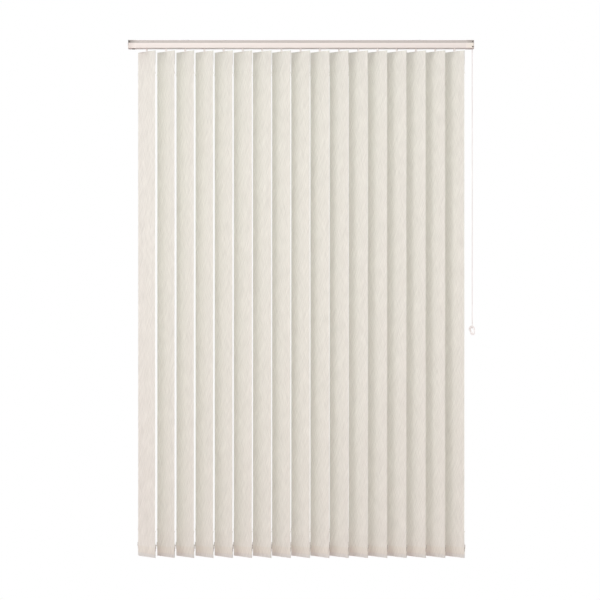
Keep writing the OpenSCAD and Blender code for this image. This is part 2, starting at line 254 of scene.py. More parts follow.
# %% [markdown]
# ## Shared surface effects
# Three effects make up the finishes. Fine grain is the faint unevenness of moulded plastic, powder coat
# and metal. The weave is two crossed rows of threads, used by the louvres and by the cord. Slubs are the
# long thick threads that make the cloth look brushed. Each is a shader node group that puts out one value
# which changes over the surface, and each material sets its own scale.

# %% Shader groups
def new_shader_group(name, sizes, result):
    """A shader node group with a Vector, named values and one value as its result."""
    return new_tree(name, "ShaderNodeTree", {"Vector": ["Vector"], "Float": sizes}, result, "Float")


def make_grain_group():
    """Fine unevenness in Object coordinates."""
    group, start, end = new_shader_group("fine grain", ["Scale"], "Grain")
    size = start.outputs
    inputs = {"Vector": size["Vector"], "Scale": size["Scale"], "Detail": 3.0, "Roughness": 0.6}
    noise = add_node(group, "ShaderNodeTexNoise", inputs)
    group.links.new(noise.outputs[0], end.inputs["Grain"])
    return group


def make_weave_group():
    """Two crossed rows of round threads over a UV map in metres."""
    group, start, end = new_shader_group("weave", ["Threads"], "Height")
    parts = split_xyz(group, start.outputs["Vector"])
    rows = []
    for axis in (0, 1):
        turns = times(group, parts[axis], start.outputs["Threads"])
        rows.append(math_node(group, "SINE", times(group, turns, 2 * math.pi)))
    half = times(group, times(group, *rows), 0.5)
    group.links.new(plus(group, half, 0.5), end.inputs["Height"])
    return group


SLUB_SETS = ((1.0, 1.0, 0.52), (-0.75, 1.1, 0.48))  # share of the lean, fineness and weight of each set
SETS_APART = 10.0


def make_slub_group():
    """Long thick threads that lean one way or the other: sets of stretched noise around 0.5."""
    group, start, end = new_shader_group("slubs", ["Lean", "Across", "Along"], "Slub")
    size = start.outputs
    parts = split_xyz(group, size["Vector"])
    sets = []
    for lean_share, finer, weight in SLUB_SETS:
        lean = times(group, size["Lean"], lean_share)
        across = minus(group, parts[0], times(group, parts[1], lean))
        wide = times(group, size["Across"], finer)
        long = times(group, size["Along"], finer)
        place = join_xyz(group, times(group, across, wide), times(group, parts[1], long), SETS_APART * finer)
        inputs = {"Vector": place, "Scale": 1.0, "Detail": 2.0, "Roughness": 0.5}
        noise = add_node(group, "ShaderNodeTexNoise", inputs)
        sets.append(times(group, noise.outputs[0], weight))
    group.links.new(plus(group, *sets), end.inputs["Slub"])
    return group


grain_group = make_grain_group()
weave_group = make_weave_group()
slub_group = make_slub_group()
print("shader groups:", grain_group.name, weave_group.name, slub_group.name, sep=", ")

# %% [markdown]
# ## Finishes
# Each material keeps its own Principled shader. What is the same all over is set on the shader's own
# sockets, and only what changes over the surface is linked: colour, roughness and the bump's height.
# Colours are written as they look in plain light, worked from sRGB values of the photographed parts.

# %% Material helpers
MOST_NOISE = (0.3, 0.7)  # the range in which most of a noise lies


def from_srgb(red, green, blue):
    """Linear colour of an sRGB colour given from 0 to 255."""
    def linear(value):
        value /= 255
        return value / 12.92 if value <= 0.04045 else ((value + 0.055) / 1.055) ** 2.4
    return (linear(red), linear(green), linear(blue), 1.0)


def new_material(name, roughness, metallic=0.0, sheen=0.0):
    """A material with a Principled shader; gives its tree and that shader."""
    material = bpy.data.materials.new(name)
    material.use_nodes = True
    tree = material.node_tree
    shader = tree.nodes["Principled BSDF"]
    for label, value in (("Roughness", roughness), ("Metallic", metallic), ("Sheen Weight", sheen)):
        shader.inputs[label].default_value = value
    return material, tree, shader


def use_group(tree, group, vector, **sizes):
    """A shader group placed in a material, with its own values."""
    return add_node(tree, "ShaderNodeGroup", {"Vector": vector, **sizes}, node_tree=group).outputs[0]


def object_place(tree):
    """The Object coordinates of a material."""
    return tree.nodes.new("ShaderNodeTexCoord").outputs["Object"]


def blend_colours(tree, share, low, high, mode="MIX"):
    """A colour between two, by a value from 0 to 1, or their blend in another mode."""
    inputs = {0: share, 6: low, 7: high}
    return add_node(tree, "ShaderNodeMix", inputs, data_type="RGBA", blend_type=mode).outputs[2]


def spread(tree, value, low, high, to_low=0.0, to_high=1.0):
    """A value stretched from one range to another and kept inside it."""
    inputs = {"Value": value, "From Min": low, "From Max": high, "To Min": to_low, "To Max": to_high}
    return add_node(tree, "ShaderNodeMapRange", inputs).outputs[0]


def add_bump(tree, shader, height, strength, distance):
    """Feeds a height to the shader's normal."""
    inputs = {"Height": height, "Strength": strength, "Distance": distance}
    bump = add_node(tree, "ShaderNodeBump", inputs)
    tree.links.new(bump.outputs[0], shader.inputs["Normal"])


def finish_with_grain(tree, shader, colour, grain, roughness, strength, distance=0.2 * MM):
    """Gives the shader its colour, and a grain that varies its roughness and raises a fine bump."""
    tree.links.new(colour, shader.inputs["Base Color"])
    tree.links.new(spread(tree, grain, *MOST_NOISE, *roughness), shader.inputs["Roughness"])
    add_bump(tree, shader, grain, strength, distance)


# %% [markdown]
# ### Cloth of the louvres
# The cloth is a pale off-white, woven, with long leaning slubs a shade lighter and darker. Its pattern
# follows the cloth's own UV map in metres, so it runs over the folds as the real weave does, and each
# louvre takes its own stretch of it. Across the foot the tone follows the height: beige where the weight
# shows through, and below the weight, where the cloth is doubled, cool and darker, a painted shade of the
# bottom fold. The welds that close the hems are two rows of small pressed dots, seen close by.

# %% Cloth material
CLOTH_LIGHT = from_srgb(235, 237, 229)
CLOTH_DARK = from_srgb(217, 219, 211)
FOOT_SPAN = 45 * MM
# Multipliers up from the bottom fold: the cool, darker tones at the bottom are painted shade of the fold,
# and the beige is where the weight shows through.
FOOT_TONES_AND_FOLD_SHADE = [
    (0, (0.92, 0.945, 0.965)),
    (9, (0.93, 0.955, 0.975)),
    (12, (0.94, 0.94, 0.935)),
    (15, (0.985, 0.972, 0.95)),
    (34, (0.985, 0.972, 0.95)),
    (38, (1.0, 1.0, 1.0)),
]
WELD_ROWS = (67 * MM, 72.5 * MM)
WELD_STEP = 6 * MM
WELD_HALF = 0.9 * MM
WELD_SHADE = 0.6
SLUB_LEAN = -0.44
SLUBS_ACROSS = 230.0
SLUBS_ALONG = 18.0
CLOTH_THREADS = 1300.0
louvre_low, louvre_high = (corner.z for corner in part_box("louvre_01"))


def foot_tone_and_fold_shade(tree, height):
    """A colour to multiply the cloth with, by the height over its bottom fold, with painted fold shade at
    the bottom.
    """
    share = spread(tree, height, louvre_low, louvre_low + FOOT_SPAN)
    ramp = add_node(tree, "ShaderNodeValToRGB", {0: share})
    stops = ramp.color_ramp.elements
    while len(stops) < len(FOOT_TONES_AND_FOLD_SHADE):
        stops.new(0.5)
    for stop, (above, tone) in zip(stops, FOOT_TONES_AND_FOLD_SHADE):
        stop.position = above * MM / FOOT_SPAN
        stop.color = (*tone, 1.0)
    return ramp.outputs[0]


def weld_dots(tree, height, uv):
    """1 in the pressed dots of the two weld rows, and 0 elsewhere."""
    turn = times(tree, split_xyz(tree, uv)[0], 2 * math.pi / WELD_STEP)
    wave = math_node(tree, "SINE", turn)
    rows = []
    for weld_z in (louvre_high - WELD_ROWS[0], louvre_low + WELD_ROWS[1]):
        away = math_node(tree, "ABSOLUTE", minus(tree, height, weld_z))
        rows.append(spread(tree, away, WELD_HALF, WELD_HALF * 0.5))
    return times(tree, plus(tree, *rows), spread(tree, wave, 0.3, 0.7))


def make_cloth():
    material, tree, shader = new_material("louvre cloth", roughness=0.88, sheen=0.12)
    uv = add_node(tree, "ShaderNodeUVMap", uv_map=UV_NAME).outputs[0]
    height = split_xyz(tree, object_place(tree))[2]
    slub = use_group(tree, slub_group, uv, Lean=SLUB_LEAN, Across=SLUBS_ACROSS, Along=SLUBS_ALONG)
    weave = use_group(tree, weave_group, uv, Threads=CLOTH_THREADS)
    dots = weld_dots(tree, height, uv)
    shade = times(tree, dots, WELD_SHADE)
    tone = minus(tree, spread(tree, slub, 0.32, 0.68), shade)
    colour = blend_colours(tree, tone, CLOTH_DARK, CLOTH_LIGHT)
    footed = blend_colours(tree, 1.0, colour, foot_tone_and_fold_shade(tree, height), "MULTIPLY")
    tree.links.new(footed, shader.inputs["Base Color"])
    tree.links.new(spread(tree, slub, *MOST_NOISE, 0.95, 0.8), shader.inputs["Roughness"])
    fine = times(tree, weave, 0.4)
    pressed = minus(tree, plus(tree, fine, slub), dots)
    add_bump(tree, shader, pressed, 0.35, 0.4 * MM)
    return material


cloth_material = make_cloth()
print("cloth:", cloth_material.name)

# %% [markdown]
# ### Headrail, plastic, metal, cord and chain
# The headrail is powder coated: a warm white, with a grey set-back strip along its top. Its front face is
# painted darker towards the bottom and its underside grey, both painted shade. The end caps take up its
# tones where they meet it and change towards their outer ends, where their strips darken and their outer
# edges turn grey as painted shade. Stems and carriers are moulded in white. The rod and the clips are bare
# metal, hardly seen. The cord is a tight braid, and its pattern follows its own UV map round and along.

# %% Headrail and cap materials
RAIL_WHITE = from_srgb(229, 225, 219)
# painted shade: the front face turns to this darker white towards its bottom
RAIL_LOW_PAINTED_SHADE = from_srgb(219, 215, 209)
# painted shade: the grey of every face of the headrail and caps that looks down
UNDERSIDE_PAINTED_SHADE = from_srgb(186, 184, 180)
STRIP_GREY = from_srgb(186, 181, 176)
# painted shade: the darker grey that the strip of each cap turns to towards its outer end
CONTROL_STRIP_END_SHADE = from_srgb(150, 146, 140)
IDLE_STRIP_END_SHADE = from_srgb(112, 108, 103)
CAP_CREAM = from_srgb(229, 226, 213)
CAP_GREY = from_srgb(211, 205, 198)
# painted shade: the grey at the outer edge of each cap
CAP_EDGE_PAINTED_SHADE = from_srgb(186, 182, 177)
CAP_EDGE = 4 * MM
STRIP_HEIGHT = 10 * MM
EDGE_BLEND = 0.2 * MM
rail_low, rail_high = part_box("headrail")
strip_edge = rail_high.z - STRIP_HEIGHT


def facing_down(tree):
    """1 on faces that look down, and 0 on the others: where the painted shade underneath goes."""
    normal = tree.nodes.new("ShaderNodeNewGeometry").outputs["Normal"]
    return spread(tree, split_xyz(tree, normal)[2], -0.5, -0.9)


def make_powder_coat():
    material, tree, shader = new_material("rail powder coat", roughness=0.42)
    place = object_place(tree)
    height = split_xyz(tree, place)[2]
    grain = use_group(tree, grain_group, place, Scale=1400.0)
    strip = spread(tree, height, strip_edge - EDGE_BLEND, strip_edge + EDGE_BLEND)
    # The front face darkens towards its bottom: painted shade.
    front = spread(tree, height, rail_low.z, strip_edge)
    white = blend_colours(tree, front, RAIL_LOW_PAINTED_SHADE, RAIL_WHITE)
    colour = blend_colours(tree, strip, white, STRIP_GREY)
    # Faces that look down get a grey painted shade.
    shaded = blend_colours(tree, facing_down(tree), colour, UNDERSIDE_PAINTED_SHADE)
    finish_with_grain(tree, shader, shaded, grain, (0.36, 0.5), 0.12)
    return material


def make_cap(name, inner_end, outer_end, face_end, strip_end_shade):
    """Cap plastic whose face changes tone from the headrail out to the cap's end. The strip's darkening
    towards the end, the grey outer edge and the grey underside are painted shade.
    """
    material, tree, shader = new_material(name, roughness=0.5)
    place = object_place(tree)
    parts = split_xyz(tree, place)
    grain = use_group(tree, grain_group, place, Scale=900.0)
    strip = spread(tree, parts[2], strip_edge + 2 * EDGE_BLEND, strip_edge + 4 * EDGE_BLEND)
    outwards = spread(tree, parts[0], inner_end, outer_end)
    edge_start = outer_end - math.copysign(CAP_EDGE, outer_end)
    at_edge = spread(tree, parts[0], edge_start, outer_end)
    # The strip darkens towards the cap's outer end: painted shade.
    grey = blend_colours(tree, outwards, STRIP_GREY, strip_end_shade)
    plain = blend_colours(tree, outwards, RAIL_WHITE, face_end)
    # The last few millimetres at the cap's outer edge turn grey: painted shade.
    ended = blend_colours(tree, at_edge, plain, CAP_EDGE_PAINTED_SHADE)
    colour = blend_colours(tree, strip, ended, grey)
    # Faces that look down get a grey painted shade.
    shaded = blend_colours(tree, facing_down(tree), colour, UNDERSIDE_PAINTED_SHADE)
    finish_with_grain(tree, shader, shaded, grain, (0.42, 0.58), 0.1)
    return material


rail_material = make_powder_coat()
control_cap_material = make_cap(
    "control cap plastic", rail_high.x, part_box("control_end_cap")[1].x, CAP_CREAM, CONTROL_STRIP_END_SHADE
)
idle_cap_material = make_cap(
    "idle cap plastic", rail_low.x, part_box("idle_end_cap")[0].x, CAP_GREY, IDLE_STRIP_END_SHADE
)
print("headrail:", rail_material.name, control_cap_material.name, idle_cap_material.name, sep=", ")

# %% Plastic, metal and cord materials
def make_moulded(name, light, shade):
    """Satin plastic of two close tones, each an sRGB colour."""
    material, tree, shader = new_material(name, roughness=0.55)
    grain = use_group(tree, grain_group, object_place(tree), Scale=900.0)
    tone = spread(tree, grain, 0.25, 0.75)
    colour = blend_colours(tree, tone, from_srgb(*shade), from_srgb(*light))
    finish_with_grain(tree, shader, colour, grain, (0.4, 0.55), 0.1)
    return material


def make_metal(name, light, shade, roughness):
    """Bare metal of two close tones, with fine lines drawn along X."""
    material, tree, shader = new_material(name, roughness=roughness, metallic=1.0)
    inputs = {"Vector": object_place(tree), "Scale": (0.02, 1.0, 1.0)}
    stretched = add_node(tree, "ShaderNodeMapping", inputs)
    drawn = use_group(tree, grain_group, stretched.outputs[0], Scale=2200.0)
    colour = blend_colours(tree, spread(tree, drawn, *MOST_NOISE), shade, light)
    finish_with_grain(tree, shader, colour, drawn, (roughness - 0.08, roughness + 0.1), 0.06, 0.1 * MM)
    return material


def make_braid():
    material, tree, shader = new_material("cord braid", roughness=0.8, sheen=0.1)
    uv = add_node(tree, "ShaderNodeUVMap", uv_map=UV_NAME).outputs[0]
    turned = add_node(tree, "ShaderNodeMapping", {"Vector": uv, "Rotation": (0.0, 0.0, math.radians(45))})
    weave = use_group(tree, weave_group, turned.outputs[0], Threads=900.0)
    tone = spread(tree, weave, 0.2, 0.8)
    colour = blend_colours(tree, tone, from_srgb(234, 232, 230), from_srgb(249, 248, 246))
    tree.links.new(colour, shader.inputs["Base Color"])
    add_bump(tree, shader, weave, 0.5, 0.3 * MM)
    return material


plastic_material = make_moulded("moulded white", (238, 234, 229), (228, 223, 217))
weight_material = make_moulded("weight plastic", (186, 182, 176), (172, 168, 162))
chain_material = make_moulded("chain plastic", (206, 202, 196), (192, 188, 182))
ring_material = make_moulded("ring plastic", (242, 242, 240), (232, 232, 230))
stem_material = make_moulded("stem plastic", (247, 247, 244), (240, 240, 236))
# Dark plastic of the pins and the latch: it paints the shade of the holes and the release slot, and colours
# the pin head on the face.
insert_and_hole_shade_material = make_moulded("dark insert", (70, 64, 54), (50, 46, 38))
rod_material = make_metal("drawn aluminium", (0.72, 0.73, 0.74, 1), (0.60, 0.61, 0.62, 1), 0.35)
clip_material = make_metal("zinc steel", (0.60, 0.60, 0.61, 1), (0.48, 0.49, 0.50, 1), 0.4)
cord_material = make_braid()
print("materials:", len(bpy.data.materials))

# %% [markdown]
# ## Finishes on the solids
# The headrail, caps, carriers, stems with their hanger plates, rod, pulley and clips have their true
# shape already, so they only get their finish. The louvres, the cord, its weight and the chain are
# replaced by the softer or finer pieces made below.

# %% Paint the solids
FINISH_OF = {
    "headrail": rail_material,
    "control_end_cap": control_cap_material,
    "idle_end_cap": idle_cap_material,
    "mounting_clips": clip_material,
    "tilt_rod": rod_material,
    "drive_pulley": plastic_material,
}
for name, solid in nodes.items():
    finish = stem_material if name.startswith("hanger_") else FINISH_OF.get(name, plastic_material)
    for material_slot in solid.material_slots:
        material_slot.material = finish
print("painted solids:", len(nodes))

# %% [markdown]
# ## Cord loop
# The cord comes out of the control end cap, hangs almost a metre, passes under the bar of the weight and
# goes back up into the cap: a closed loop whose two strands hang one behind the other. The route repeats
# the points of the solid, with the strand behind as the mirror image of the one in front. A smooth curve
# through them is swept to a tube, ring by ring, with a UV map that runs round and along in metres for
# the braid.

# %% Cord
CORD_X = 595 * MM
CORD_DIAMETER = 2 * MM
CORD_SIDES = 10
CORD_STEPS = 4
CORD_MIDDLE = 6.6
CORD_FRONT = [
    (1.6, -28), (1.6, -31), (1.6, -60), (1.6, -120), (1.6, -240), (1.7, -360), (1.7, -480), (1.8, -600),
    (1.8, -720), (1.9, -840), (2, -930), (2, -978), (2, -993.6), (2.4, -995.4), (3.4, -996.9), (4.9, -997.9),
]
CORD_BACK = [(2 * CORD_MIDDLE - y, z) for y, z in reversed(CORD_FRONT)]
CORD_ROUTE = CORD_FRONT + [(CORD_MIDDLE, -998.2)] + CORD_BACK


def smooth_path(points, steps):
    """Points of a curve through the given ones, with the pull of each end set by the span's length."""
    path = []
    for k in range(len(points) - 1):
        before, a, b, after = (points[min(max(k + j, 0), len(points) - 1)] for j in (-1, 0, 1, 2))
        span = (b - a).length
        leave = (b - before).normalized() * span
        arrive = (after - a).normalized() * span
        for s in range(steps):
            t = s / steps
            path.append(
                a * (2 * t**3 - 3 * t**2 + 1)
                + leave * (t**3 - 2 * t**2 + t)
                + b * (3 * t**2 - 2 * t**3)
                + arrive * (t**3 - t**2)
            )
    return path + [points[-1]]


def tube_mesh(name, path, radius, sides, material):
    """A closed tube round a path that lies in a plane across X, with a UV map in metres."""
    shape = bmesh.new()
    uv_layer = shape.loops.layers.uv.new(UV_NAME)
    side_way = Vector((1, 0, 0))
    lengths = [0.0]
    for a, b in zip(path, path[1:]):
        lengths.append(lengths[-1] + (b - a).length)
    rings = []
    for k, point in enumerate(path):
        ahead = (path[min(k + 1, len(path) - 1)] - path[max(k - 1, 0)]).normalized()
        up_way = ahead.cross(side_way)
        ring = []
        for s in range(sides):
            turn = 2 * math.pi * s / sides
            off = side_way * math.cos(turn) + up_way * math.sin(turn)
            ring.append(shape.verts.new(point + off * radius))
        rings.append(ring)
    around = 2 * math.pi * radius / sides
    for k in range(len(path) - 1):
        for s in range(sides):
            n = (s + 1) % sides
            face = shape.faces.new((rings[k][s], rings[k][n], rings[k + 1][n], rings[k + 1][s]))
            corners = ((s, k), (s + 1, k), (s + 1, k + 1), (s, k + 1))
            for loop, (u, v) in zip(face.loops, corners):
                loop[uv_layer].uv = (u * around, lengths[v])
    shape.faces.new(reversed(rings[0]))
    shape.faces.new(rings[-1])
    return close_shape(name, shape, material), lengths[-1]


route = [Vector((CORD_X, y * MM, z * MM)) for y, z in CORD_ROUTE]
cord_path = smooth_path(route, CORD_STEPS)
cord_mesh, cord_length = tube_mesh("pull_cord", cord_path, CORD_DIAMETER / 2, CORD_SIDES, cord_material)
cord_piece = add_piece("pull_cord", cord_mesh, "headrail")
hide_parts("cord")
print("cord:", round(cord_length, 3), "m,", triangles(cord_mesh), "triangles")

# %% [markdown]
# ## Cord weight
# The weight is a small moulded ring, an egg with its wide end up that leans a little. Its hole is a
# smaller egg, set to the side, so the wall is thick on the left and below. Each outline is two circles
# and their outer tangents, and a rounded section spans from one to the other all round, which gives the
# ring its soft edges. Its top is the bar that hangs in the cord.

# %% Cord weight
RING_Y = CORD_MIDDLE * MM
RING_LEAN = 1.6 * MM
RING_TOP = (Vector((CORD_X - RING_LEAN, -998.1 * MM)), 10.6 * MM)
RING_LOW = (Vector((CORD_X + RING_LEAN, -1013.9 * MM)), 7.4 * MM)
HOLE_TOP = (Vector((CORD_X, -1000.4 * MM)), 5 * MM)
HOLE_LOW = (Vector((CORD_X + 1.8 * MM, -1008.4 * MM)), 3.2 * MM)
RING_THICKNESS = 5.4 * MM
RING_STEPS = 96
RING_SECTION_STEPS = 16
RING_SQUARENESS = 0.6


def egg_outline(top, low, steps):
    """Points of two circles, each a centre and a radius, joined by their outer tangents."""
    axis = low[0] - top[0]
    lean = math.atan2(axis.y, axis.x)
    open_angle = math.acos((top[1] - low[1]) / axis.length)
    points = []
    for k in range(steps):
        turn = 2 * math.pi * k / steps
        low_side = abs((turn + math.pi) % (2 * math.pi) - math.pi) < open_angle
        centre, radius = low if low_side else top
        points.append(centre + radius * Vector((math.cos(lean + turn), math.sin(lean + turn))))
    return points


def rounded(value):
    """A sine or cosine pushed outwards, so that a circle turns into a rounded square."""
    return math.copysign(abs(value) ** RING_SQUARENESS, value)


def ring_mesh(name):
    shape = bmesh.new()
    hole = egg_outline(HOLE_TOP, HOLE_LOW, RING_STEPS)
    outside = egg_outline(RING_TOP, RING_LOW, RING_STEPS)
    rows = []
    for hole_point, outside_point in zip(hole, outside):
        middle = (hole_point + outside_point) / 2
        half_wall = (outside_point - hole_point) / 2
        row = []
        for s in range(RING_SECTION_STEPS):
            turn = 2 * math.pi * s / RING_SECTION_STEPS
            point = middle + half_wall * rounded(math.cos(turn))
            y = RING_Y + rounded(math.sin(turn)) * RING_THICKNESS / 2
            row.append(shape.verts.new((point.x, y, point.y)))
        rows.append(row)
    for k, row in enumerate(rows):
        following = rows[(k + 1) % len(rows)]
        for s in range(RING_SECTION_STEPS):
            n = (s + 1) % RING_SECTION_STEPS
            shape.faces.new((row[s], row[n], following[n], following[s]))
    return close_shape(name, shape, ring_material)


weight_ring_mesh = ring_mesh("cord_ring")
cord_ring = add_piece("cord_ring", weight_ring_mesh, "headrail")
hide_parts("cord_weight")
print("cord weight:", triangles(weight_ring_mesh), "triangles")

# %% [markdown]
# ## Louvre cloth
# A louvre is one strip of cloth, hemmed behind at both ends: the top hem holds the hanger plate and the
# bottom hem the weight. Seen from the side the strip is a single line, up the back of one hem, over the
# top fold, down the front, under the bottom fold and up the back of the other hem. That line is drawn as
# points, and a Geometry Nodes tree spreads it across the width, cups and waves the free cloth a little,
# flares the hems' cut ends into small ears that peep out at the edges, cuts the slit for the hook's
# tongue, and stores the UV map. Solidify gives the cloth its thickness.

# %% The line of the cloth, seen from the side
CLOTH_THICKNESS = 0.4 * MM
LOUVRE_WIDTH = 89 * MM
POCKET_HALF = 0.7 * MM
TOP_POCKET = 44 * MM
BOTTOM_POCKET = 42 * MM
POCKET_RAMP = 10 * MM
TOP_WELD = 26 * MM
BOTTOM_WELD = 41 * MM
LAP_GAP = 0.05 * MM
FREE_STEP = 25 * MM
FOLD_STEPS = 8
HEM_STEPS = 6
FADE_IN = 150 * MM

fold_radius = POCKET_HALF + CLOTH_THICKNESS / 2
lap_n = -POCKET_HALF + CLOTH_THICKNESS / 2 + LAP_GAP


def ease(share):
    """A share from 0 to 1 with a soft start and a soft end."""
    return share * share * (3 - 2 * share)


def hem_line(fold_z, inward, pocket, weld):
    """Points (n, z) of one hem, from its free end to its fold; inward is the way from the fold, 1 or -1."""
    weld_z = fold_z + inward * (pocket + POCKET_RAMP)
    pocket_z = fold_z + inward * pocket
    centre_z = fold_z + inward * (fold_radius + CLOTH_THICKNESS / 2)
    shares = [k / HEM_STEPS for k in range(HEM_STEPS)]
    points = [(lap_n, weld_z + inward * weld * (1 - share)) for share in shares]
    for share in shares:
        points.append((lap_n + (fold_radius - lap_n) * ease(share), weld_z - inward * POCKET_RAMP * share))
    for share in shares:
        points.append((fold_radius, pocket_z + (centre_z - pocket_z) * share))
    for k in range(FOLD_STEPS):
        turn = math.pi * k / FOLD_STEPS
        points.append((fold_radius * math.cos(turn), centre_z - inward * fold_radius * math.sin(turn)))
    return points


def cloth_line():
    top = hem_line(louvre_high, -1, TOP_POCKET, TOP_WELD)
    bottom = hem_line(louvre_low, 1, BOTTOM_POCKET, BOTTOM_WELD)
    start_z = louvre_high - fold_radius - CLOTH_THICKNESS / 2
    end_z = louvre_low + fold_radius + CLOTH_THICKNESS / 2
    steps = round((start_z - end_z) / FREE_STEP)
    front = [(-fold_radius, start_z + (end_z - start_z) * k / steps) for k in range(steps + 1)]
    return top + front + bottom[::-1]


def line_mesh(points):
    """The line as a mesh of edges, with how far along each point lies and how free the cloth is there."""
    mesh = points_mesh("cloth_line", [(0, n, z) for n, z in points])
    along = mesh.attributes.new("along", "FLOAT", "POINT")
    free = mesh.attributes.new("free", "FLOAT", "POINT")
    length = 0.0
    top_end = louvre_high - TOP_POCKET - POCKET_RAMP - TOP_WELD
    low_end = louvre_low + BOTTOM_POCKET + POCKET_RAMP + BOTTOM_WELD
    for k, (n, z) in enumerate(points):
        if k:
            length += math.dist(points[k], points[k - 1])
        along.data[k].value = length
        inside = min(top_end - z, z - low_end)
        free.data[k].value = min(max(inside / FADE_IN, 0.0), 1.0)
    return mesh, length


side_line = cloth_line()
cloth_start, cloth_length = line_mesh(side_line)
print("cloth strip:", LOUVRE_WIDTH, "m wide,", round(cloth_length, 3), "m long,", len(side_line), "rows")

# %% Tree that spreads the line into a louvre
LOUVRE_SIZES = {
    "Int": ("Rows", "Columns"),
    "Float": (
        "Width", "Length", "Ear", "Ear Length", "Cup", "Wave", "Wave Scale", "Seed", "Slit", "Slit Height"
    ),
    "Vector": ("Pattern Shift",),
}


def make_louvre_tree():
    tree, start, end = new_geometry_tree("louvre cloth", LOUVRE_SIZES)
    size = start.outputs
    inputs = {"Size X": size["Width"], "Vertices X": size["Columns"], "Vertices Y": size["Rows"]}
    grid = add_node(tree, "GeometryNodeMeshGrid", {"Size Y": 1.0, **inputs})
    row = math_node(tree, "MODULO", tree.nodes.new("GeometryNodeInputIndex").outputs[0], size["Rows"])

    def from_line(value, kind):
        inputs = {0: size["Geometry"], 1: value, "Index": row}
        return add_node(tree, "GeometryNodeSampleIndex", inputs, data_type=kind).outputs[0]

    def named(label):
        node = add_node(tree, "GeometryNodeInputNamedAttribute", {"Name": label}, data_type="FLOAT")
        return node.outputs[0]

    def store(geometry, label, value, kind, domain):
        inputs = {"Geometry": geometry, "Name": label, "Value": value}
        node = add_node(tree, "GeometryNodeStoreNamedAttribute", inputs, data_type=kind, domain=domain)
        return node.outputs[0]

    place = tree.nodes.new("GeometryNodeInputPosition").outputs[0]
    across, _, height = split_xyz(tree, place)
    _, line_n, line_z = split_xyz(tree, from_line(place, "FLOAT_VECTOR"))
    along = from_line(named("along"), "FLOAT")
    free = from_line(named("free"), "FLOAT")

    edge_share = math_node(tree, "DIVIDE", across, times(tree, size["Width"], 0.5))
    cup = times(tree, minus(tree, times(tree, edge_share, edge_share), 1 / 3), size["Cup"])
    inputs = {"Vector": join_xyz(tree, across, along), "W": size["Seed"], "Scale": size["Wave Scale"]}
    noise = add_node(tree, "ShaderNodeTexNoise", {"Detail": 1.0, **inputs}, noise_dimensions="4D")
    wave = times(tree, minus(tree, noise.outputs[0], 0.5), size["Wave"])
    soft = times(tree, plus(tree, cup, wave), free)
    to_end = math_node(tree, "MINIMUM", along, minus(tree, size["Length"], along))
    flare = minus(tree, 1.0, math_node(tree, "DIVIDE", to_end, size["Ear Length"]))
    ear = times(tree, math_node(tree, "MAXIMUM", flare, 0.0), size["Ear"])
    eared = plus(tree, across, times(tree, edge_share, ear))
    spot = join_xyz(tree, eared, plus(tree, line_n, soft), line_z)

    kept = store(grid.outputs[0], "along", along, "FLOAT", "POINT")
    shaped = add_node(tree, "GeometryNodeSetPosition", {"Geometry": kept, "Position": spot})
    shift = split_xyz(tree, size["Pattern Shift"])
    uv = join_xyz(tree, plus(tree, across, shift[0]), plus(tree, named("along"), shift[1]))
    mapped = store(shaped.outputs[0], UV_NAME, uv, "FLOAT2", "CORNER")
    near_middle = math_node(tree, "LESS_THAN", math_node(tree, "ABSOLUTE", across), size["Slit"])
    in_fold = math_node(tree, "GREATER_THAN", height, size["Slit Height"])
    inputs = {"Geometry": mapped, "Selection": times(tree, near_middle, in_fold)}
    slit = add_node(tree, "GeometryNodeDeleteGeometry", inputs, domain="FACE")
    finish_tree(tree, start, end, slit.outputs[0])
    return tree


louvre_tree = make_louvre_tree()
print("tree:", louvre_tree.name, "with", len(louvre_tree.nodes), "nodes")

# %% [markdown]
# One run of the tree for each stem makes the louvres. The seed changes the faint waves and the shift takes
# another stretch of the pattern, so that no two louvres are alike. The odd number of cells across puts one
# cell in the middle, as wide as the slit.

# %% Louvres
CELLS_ACROSS = 15
EAR = 3.5 * MM
EAR_LENGTH = 7 * MM
CUP = 0.5 * MM
WAVE = 0.9 * MM
WAVE_SCALE = 7.0
SEED_STEP = 3.7
SLIT_DEPTH = 0.6 * MM
PATTERN_STEP = Vector((0.137, 2.31, 0.0))

louvre_sizes = {
    "Rows": len(side_line),
    "Columns": CELLS_ACROSS + 1,
    "Width": LOUVRE_WIDTH,
    "Length": cloth_length,
    "Ear": EAR,
    "Ear Length": EAR_LENGTH,
    "Cup": CUP,
    "Wave": WAVE,
    "Wave Scale": WAVE_SCALE,
    "Slit": LOUVRE_WIDTH / CELLS_ACROSS / 2,
    "Slit Height": louvre_high - SLIT_DEPTH,
    "Material": cloth_material,
}
for count, vane in enumerate(vanes):
    number = vane[-2:]
    own = {"Seed": count * SEED_STEP, "Pattern Shift": PATTERN_STEP * count}
    cloth_mesh = run_tree(cloth_start, louvre_tree, {**louvre_sizes, **own}, thickness=CLOTH_THICKNESS)
    cloth_mesh.transform(at_stem(vane))
    cloth = add_piece("louvre_cloth_" + number, cloth_mesh, vane)
    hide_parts("louvre_" + number)
print("louvres:", len(vanes), "of", triangles(cloth_mesh), "triangles")

# %% [markdown]
# ## Bottom weights
# A flat plastic weight stiffens each foot. It lies in the bottom hem and shows only at the side edges: a
# narrow tab beyond the cloth, and at its top a lug with an upright peg for the chain. One outline is
# extruded to a plate and the pegs are turned pins; the same shape is set at every stem.

